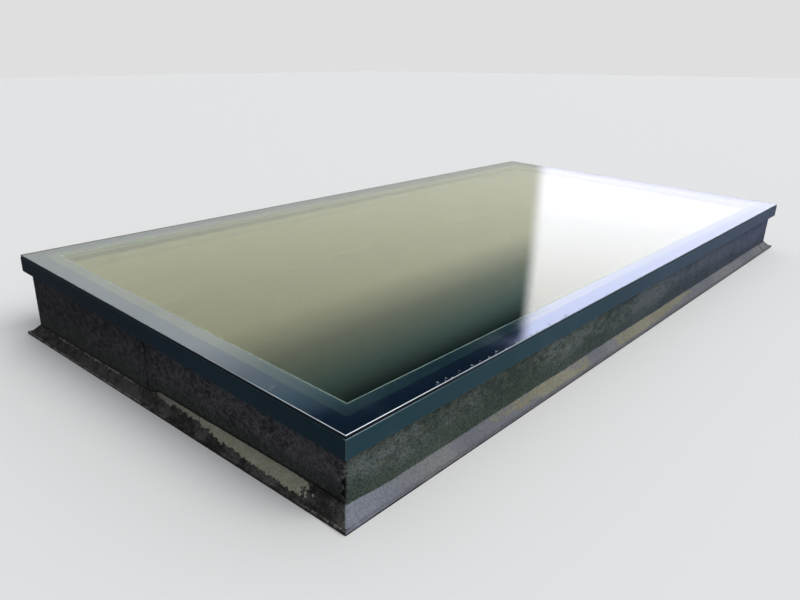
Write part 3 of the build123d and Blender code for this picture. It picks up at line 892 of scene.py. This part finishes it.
def build_corner_patch(long_side, short_side):
    """Gusset dressed round the fillets and the toe of one corner, cut by hand."""
    stations = [k for k, point in enumerate(REFERENCE) if point[1] < PATCH_TOP]
    first, second = ((side, (SIDES[side] - 90) % 360 == SIDES[other])
                     for side, other in ((long_side, short_side), (short_side, long_side)))
    steps = 8
    seed = len(long_side)
    columns = [wing_column(*first, j / steps, seed) for j in range(steps, -1, -1)]
    columns += [corner_column(*first, turn) for turn in reversed(CORNER_TURNS)]
    columns += [corner_column(*second, turn) for turn in CORNER_TURNS[1:]]
    columns += [wing_column(*second, j / steps, seed) for j in range(steps + 1)]
    felt_sheet(
        f"felt_patch_{long_side}_{short_side}", columns, (FELT, FELT + LAP_RISE),
        f"corner_patch_{long_side}_{short_side}", stations, ragged_patch_top,
    )


def glass_ring(profile, finishes):
    """Mesh round the glass from a section of (inset, height) points, and its rows of points.

    Each face along the section takes the material of that number.
    """
    bm = bmesh.new()
    rows = [[bm.verts.new((sx * (HALF_LENGTH - inset), sy * (HALF_WIDTH - inset), height))
             for inset, height in profile] for sx, sy in QUARTERS]
    for row, following in zip(rows, rows[1:] + rows[:1]):
        for k, number in enumerate(finishes):
            m = (k + 1) % len(profile)
            bm.faces.new((row[k], following[k], following[m], row[m])).material_index = number
    return bm, rows


def tipped_piece(name, bm, slot, replaced, *others):
    """Finish a square mesh: turn its faces outwards, tip it and link it, with other materials."""
    bmesh.ops.recalc_face_normals(bm, faces=bm.faces)
    mesh = bpy.data.meshes.new(name)
    for material in (MATERIALS[slot], *others):
        mesh.materials.append(material)
    bm.to_mesh(mesh)
    bm.free()
    mesh.transform(TIPPED)
    return mesh_piece(name, mesh, slot, replaced)


def build_outer_pane():
    """The top pane, with clear faces, a polished edge and a ground arris all round."""
    outer, inner = PANE_INSET, PANE_INSET + PANE_ARRIS
    profile = [(inner, PRINT_HIGH), (outer, PRINT_HIGH + PANE_ARRIS * 0.5),
               (outer, GLASS_TOP - PANE_ARRIS), (inner, GLASS_TOP)]
    bm, rows = glass_ring(profile, (2, 2, 1))
    bm.faces.new([row[3] for row in rows])
    bm.faces.new([row[0] for row in reversed(rows)])
    tipped_piece("outer_glass_sheet", bm, "outer_glass", "outer_pane", ground_edge, polished_edge)


def build_border():
    """The printed band, let a hair into the glass so that nothing shows between them.

    It looks bluer over the bonded flange than over the spacer, inside the step, where a dark teal is painted
    to stand for the coating's greenish reflection.
    """
    top, bottom = PRINT_HIGH + PRINT_LET_IN, PRINT_LOW + 0.02 * MM
    outer = PANE_INSET + PANE_ARRIS
    profile = [(outer, bottom), (outer, top), (BORDER_STEP, top), (BORDER_INNER, top), (BORDER_INNER, bottom)]
    bm, _ = glass_ring(profile, (0, 0, 1, 0, 0))
    tipped_piece("border_band", bm, "black_enamel", "border_print", enamel_over_spacer_painted_reflection)


def end_tree(tree, wanted, geometry, material):
    """End a Geometry Nodes tree in Realize Instances and Set Material."""
    real = node(tree, "GeometryNodeRealizeInstances", {"Geometry": geometry}).outputs["Geometry"]
    dressed = node(tree, "GeometryNodeSetMaterial", {"Geometry": real, "Material": material})
    fill(tree, wanted["Geometry"], dressed.outputs["Geometry"])
    return tree


def build_bitumen_tree():
    """Geometry Nodes: a bead of melted bitumen along a path, thick and thin by turns."""
    tree, given, wanted = node_group("bitumen_bead", "GeometryNodeTree", (
        ("Geometry", "Geometry", None), ("Radius", "Float", 1.6 * MM), ("Step", "Float", 5 * MM),
        ("Unevenness", "Float", 0.8), ("Material", "Material", None),
    ), {"Geometry": "Geometry"})
    path = node(tree, "GeometryNodeMeshToCurve", {"Mesh": given["Geometry"]}).outputs["Curve"]
    steps = {"Curve": path, "Length": given["Step"]}
    path = node(tree, "GeometryNodeResampleCurve", steps, mode="LENGTH").outputs["Curve"]
    thick = node(tree, "ShaderNodeTexNoise", {"Scale": 55.0}).outputs["Fac"]
    uneven = times(tree, scaled(tree, thick, 3.2, -1.6), given["Unevenness"])
    radius = times(tree, given["Radius"], maths(tree, "MAXIMUM", maths(tree, "ADD", 1.0, uneven), 0.25))
    path = node(tree, "GeometryNodeSetCurveRadius", {"Curve": path, "Radius": radius}).outputs["Curve"]
    circle = node(tree, "GeometryNodeCurvePrimitiveCircle", {"Resolution": 7, "Radius": 1.0})
    tube = node(tree, "GeometryNodeCurveToMesh", {
        "Curve": path, "Profile Curve": circle.outputs["Curve"], "Scale": radius, "Fill Caps": True,
    })
    return end_tree(tree, wanted, tube.outputs["Mesh"], given["Material"])


def build_drop_tree():
    """Geometry Nodes: a flattened drop on every vertex, small and large by turns."""
    tree, given, wanted = node_group("water_drops", "GeometryNodeTree", (
        ("Geometry", "Geometry", None), ("Radius", "Float", 2.4 * MM), ("Flatness", "Float", 0.45),
        ("Smallest", "Float", 0.4), ("Material", "Material", None),
    ), {"Geometry": "Geometry"})
    ball = node(tree, "GeometryNodeMeshIcoSphere", {"Subdivisions": 3, "Radius": given["Radius"]})
    size = node(tree, "FunctionNodeRandomValue", data_type="FLOAT")
    fill(tree, size.inputs["Min"], given["Smallest"])
    fill(tree, size.inputs["Seed"], 7)
    width = size.outputs["Value"]
    flat = times(tree, width, given["Flatness"])
    shape = node(tree, "ShaderNodeCombineXYZ", {"X": width, "Y": width, "Z": flat}).outputs["Vector"]
    strewn = node(tree, "GeometryNodeInstanceOnPoints", {
        "Points": given["Geometry"], "Instance": ball.outputs["Mesh"], "Scale": shape,
    })
    return end_tree(tree, wanted, strewn.outputs["Instances"], given["Material"])


def grown(name, paths, tree, settings):
    """Mesh that a Geometry Nodes tree makes from loose polylines, with the modifier gone."""
    verts, edges = [], []
    for path in paths:
        edges += [(len(verts) + i, len(verts) + i + 1) for i in range(len(path) - 1)]
        verts += [tuple(point) for point in path]
    base = bpy.data.meshes.new(name + "_paths")
    base.from_pydata(verts, edges, [])
    carrier = linked(name + "_carrier", base)
    modifier = carrier.modifiers.new("grow", "NODES")
    modifier.node_group = tree
    for item in tree.interface.items_tree:
        if item.item_type == "SOCKET" and item.in_out == "INPUT" and item.name in settings:
            modifier[item.identifier] = settings[item.name]
    graph = bpy.context.evaluated_depsgraph_get()
    mesh = bpy.data.meshes.new_from_object(carrier.evaluated_get(graph))
    mesh.name = name
    carrier.modifiers.remove(modifier)
    bpy.data.objects.remove(carrier)
    for polygon in mesh.polygons:
        polygon.use_smooth = True
    return mesh


# Drops near the front left corner, as (metres from the left end, millimetres inwards)
DROPS = (
    (0.317, 13), (0.348, 13), (0.362, 5), (0.402, 14), (0.450, 9), (0.486, 10), (0.520, 6), (0.562, 12),
    (0.596, 5), (0.650, 6), (0.684, 5), (0.726, 8), (0.756, 6), (0.830, 10), (0.930, 12),
)
# Drops on the left, as (millimetres inwards, metres along Y)
LEFT_DROPS = ((22, -0.570), (31, -0.569), (9, -0.575))


def build_drops():
    """Drops of rain left on the border of the glass, along the front and on the left."""
    points = [(from_left - HALF_LENGTH, inwards * MM - HALF_WIDTH) for from_left, inwards in DROPS]
    points += [(inwards * MM - HALF_LENGTH, y) for inwards, y in LEFT_DROPS]
    paths = [[(x, y, GLASS_TOP + 0.4 * MM)] for x, y in points]
    settings = {"Radius": 3.8 * MM, "Flatness": 0.5, "Smallest": 0.5, "Material": water}
    mesh = grown("rain_drops", paths, build_drop_tree(), settings)
    mesh.transform(TIPPED)
    mesh_piece("rain_drops", mesh, "outer_glass")


def build_bitumen_beads():
    """Bitumen squeezed out along the edge of every lap."""
    section = sheet_line_at(FELT + 0.4 * MM)
    paths = []
    for side, lap in ((side, lap) for side, laps in LAPS.items() for lap in laps):
        path = []
        for k, point in enumerate(REFERENCE[:-1]):
            if point[1] > SKIRT_BOTTOM:
                continue
            along = lap + lap_wobble(side, lap, k) + 0.6 * MM
            inset, height = Vector(section[k]) + OUTWARD[k] * wave(side, along, k)
            path.append(place(side, along, inset, height))
        paths.append(path)
    settings = {"Radius": 1.5 * MM, "Step": 4 * MM, "Unevenness": 0.9, "Material": bitumen_run}
    mesh_piece("bitumen_beads", grown("bitumen_beads", paths, build_bitumen_tree(), settings), "mineral_felt")


build_outer_pane()
build_border()
for name in SIDES:
    build_cap_strips(name)
for pair in CORNERS:
    build_corner_patch(*pair)
build_bitumen_beads()
build_drops()


# Floor, light and camera

FLOOR_HALF = 40.0
ROOM_DEPTH = 0.9
HOLE_X = HALF_LENGTH - KERB_INNER - 1 * MM
HOLE_Y = HALF_WIDTH - KERB_INNER - 1 * MM


def quarters(half_x, half_y, height):
    """Corners of a rectangle round the origin."""
    return [(sx * half_x, sy * half_y, height) for sx, sy in QUARTERS]


def stage_piece(name, verts, faces, material):
    """A piece of the studio, which isn't part of the object."""
    mesh = bpy.data.meshes.new(name)
    mesh.from_pydata(verts, [], faces)
    mesh.materials.append(material)
    linked(name, mesh)


def build_floor():
    """Plain pale floor, with a well under the light opening painted near black, as the shade of the room
    below.
    """
    pale, tree = new_material("pale_floor")
    x = squared(tree)[1]
    seen = node(tree, "ShaderNodeLightPath").outputs["Is Camera Ray"]
    bounced = mix(tree, spread(tree, x, -2.0, -1.4), (0.07, 0.07, 0.08), (0.30, 0.31, 0.35))
    finish(pale, {"Base Color": mix(tree, seen, bounced, (0.76, 0.76, 0.75)), "Roughness": 0.9})
    # Painted shade: the well is near black to stand for the dim room under the glass
    dark, _ = new_material("room_below_painted_shade")
    finish(dark, {"Base Color": (0.030, 0.034, 0.030), "Roughness": 0.9})

    sides = [(i, (i + 1) % 4, 4 + (i + 1) % 4, 4 + i) for i in range(4)]
    hole = quarters(HOLE_X, HOLE_Y, 0)
    stage_piece("floor", quarters(FLOOR_HALF, FLOOR_HALF, 0) + hole, sides, pale)
    stage_piece("well", hole + quarters(HOLE_X, HOLE_Y, -ROOM_DEPTH), sides + [(4, 5, 6, 7)], dark)


def build_world():
    """Soft even studio. Gloss and glass see broad panels: cream ahead, white to the right.

    The white fades to grey behind the photograph's viewpoint, so that the glass isn't blank
    from there either.
    """
    world = bpy.data.worlds.new("studio")
    world.use_nodes = True
    bpy.context.scene.world = world
    tree = world.node_tree
    _, x, y, z = squared(tree, "Generated", (0, 0, 0))
    ahead = maths(tree, "MAXIMUM", y, 0.02)
    sideways = maths(tree, "DIVIDE", x, ahead)
    upwards = maths(tree, "DIVIDE", z, ahead)
    panel = times(tree, spread(tree, sideways, 1.79, 1.69), spread(tree, y, 0.0, 0.1))
    cream = colour_ramp(
        tree, upwards, (0.52, (0.80, 0.80, 0.69)), (0.62, (0.34, 0.38, 0.36)),
        (0.72, (0.14, 0.22, 0.24)), (0.80, (0.012, 0.026, 0.042)),
    )
    behind = mix(tree, spread(tree, z, 0.12, 0.70), (0.86, 0.88, 0.94), (0.36, 0.39, 0.45))
    sky = mix(tree, spread(tree, y, -0.10, -0.45), (1.72, 1.72, 1.95), behind)
    mirrored = mix(tree, panel, sky, cream)
    path = node(tree, "ShaderNodeLightPath").outputs
    glossy = maths(tree, "MAXIMUM", path["Is Glossy Ray"], path["Is Transmission Ray"])
    lit_side = spread(tree, scaled(tree, y, -0.35, x), -0.9, 0.7)
    soft = mix(tree, lit_side, (0.175, 0.185, 0.22), (0.86, 0.88, 0.92))
    ambient = mix(tree, glossy, soft, mirrored)
    back = tree.nodes["Background"]
    fill(tree, back.inputs["Color"], mix(tree, path["Is Camera Ray"], ambient, (0.74, 0.74, 0.74)))
    fill(tree, back.inputs["Strength"], 1.0)


def add_sun(name, direction, strength, softness, colour):
    """A lamp so far off that it lights the whole floor alike; softness is its angle in degrees."""
    data = bpy.data.lights.new(name, "SUN")
    data.energy = strength
    data.angle = math.radians(softness)
    data.color = colour
    lamp = linked(name, data)
    lamp.rotation_euler = Vector(direction).to_track_quat("-Z", "Y").to_euler()
    lamp.visible_glossy = False
    lamp.visible_transmission = False


# The photograph's viewpoint, solved from the corners of the glass and the foot of the kerb
CAMERA_LENS = 30.57
CAMERA_PLACE = (-2.42494, -1.70874, 1.00777)
CAMERA_RIGHT = Vector((0.66844033, -0.74309791, 0.0315124))
CAMERA_FORWARD = Vector((0.70091379, 0.61518895, -0.36091886))


def build_camera():
    """Camera at the photograph's viewpoint, tipped with the kerb."""
    data = bpy.data.cameras.new("camera")
    data.sensor_width = 36.0
    data.lens = CAMERA_LENS
    data.clip_end = 200
    camera = linked("camera", data)
    upwards = CAMERA_RIGHT.cross(CAMERA_FORWARD)
    matrix = Matrix((CAMERA_RIGHT, upwards, -CAMERA_FORWARD)).transposed().to_4x4()
    matrix.translation = CAMERA_PLACE
    camera.matrix_world = TIPPED @ matrix
    bpy.context.scene.camera = camera


build_floor()
build_world()
add_sun("key", (-0.25, 1.0, -1.1), 1.95, 40, (1.0, 0.99, 0.96))
build_camera()
bpy.context.scene.view_settings.view_transform = "Standard"
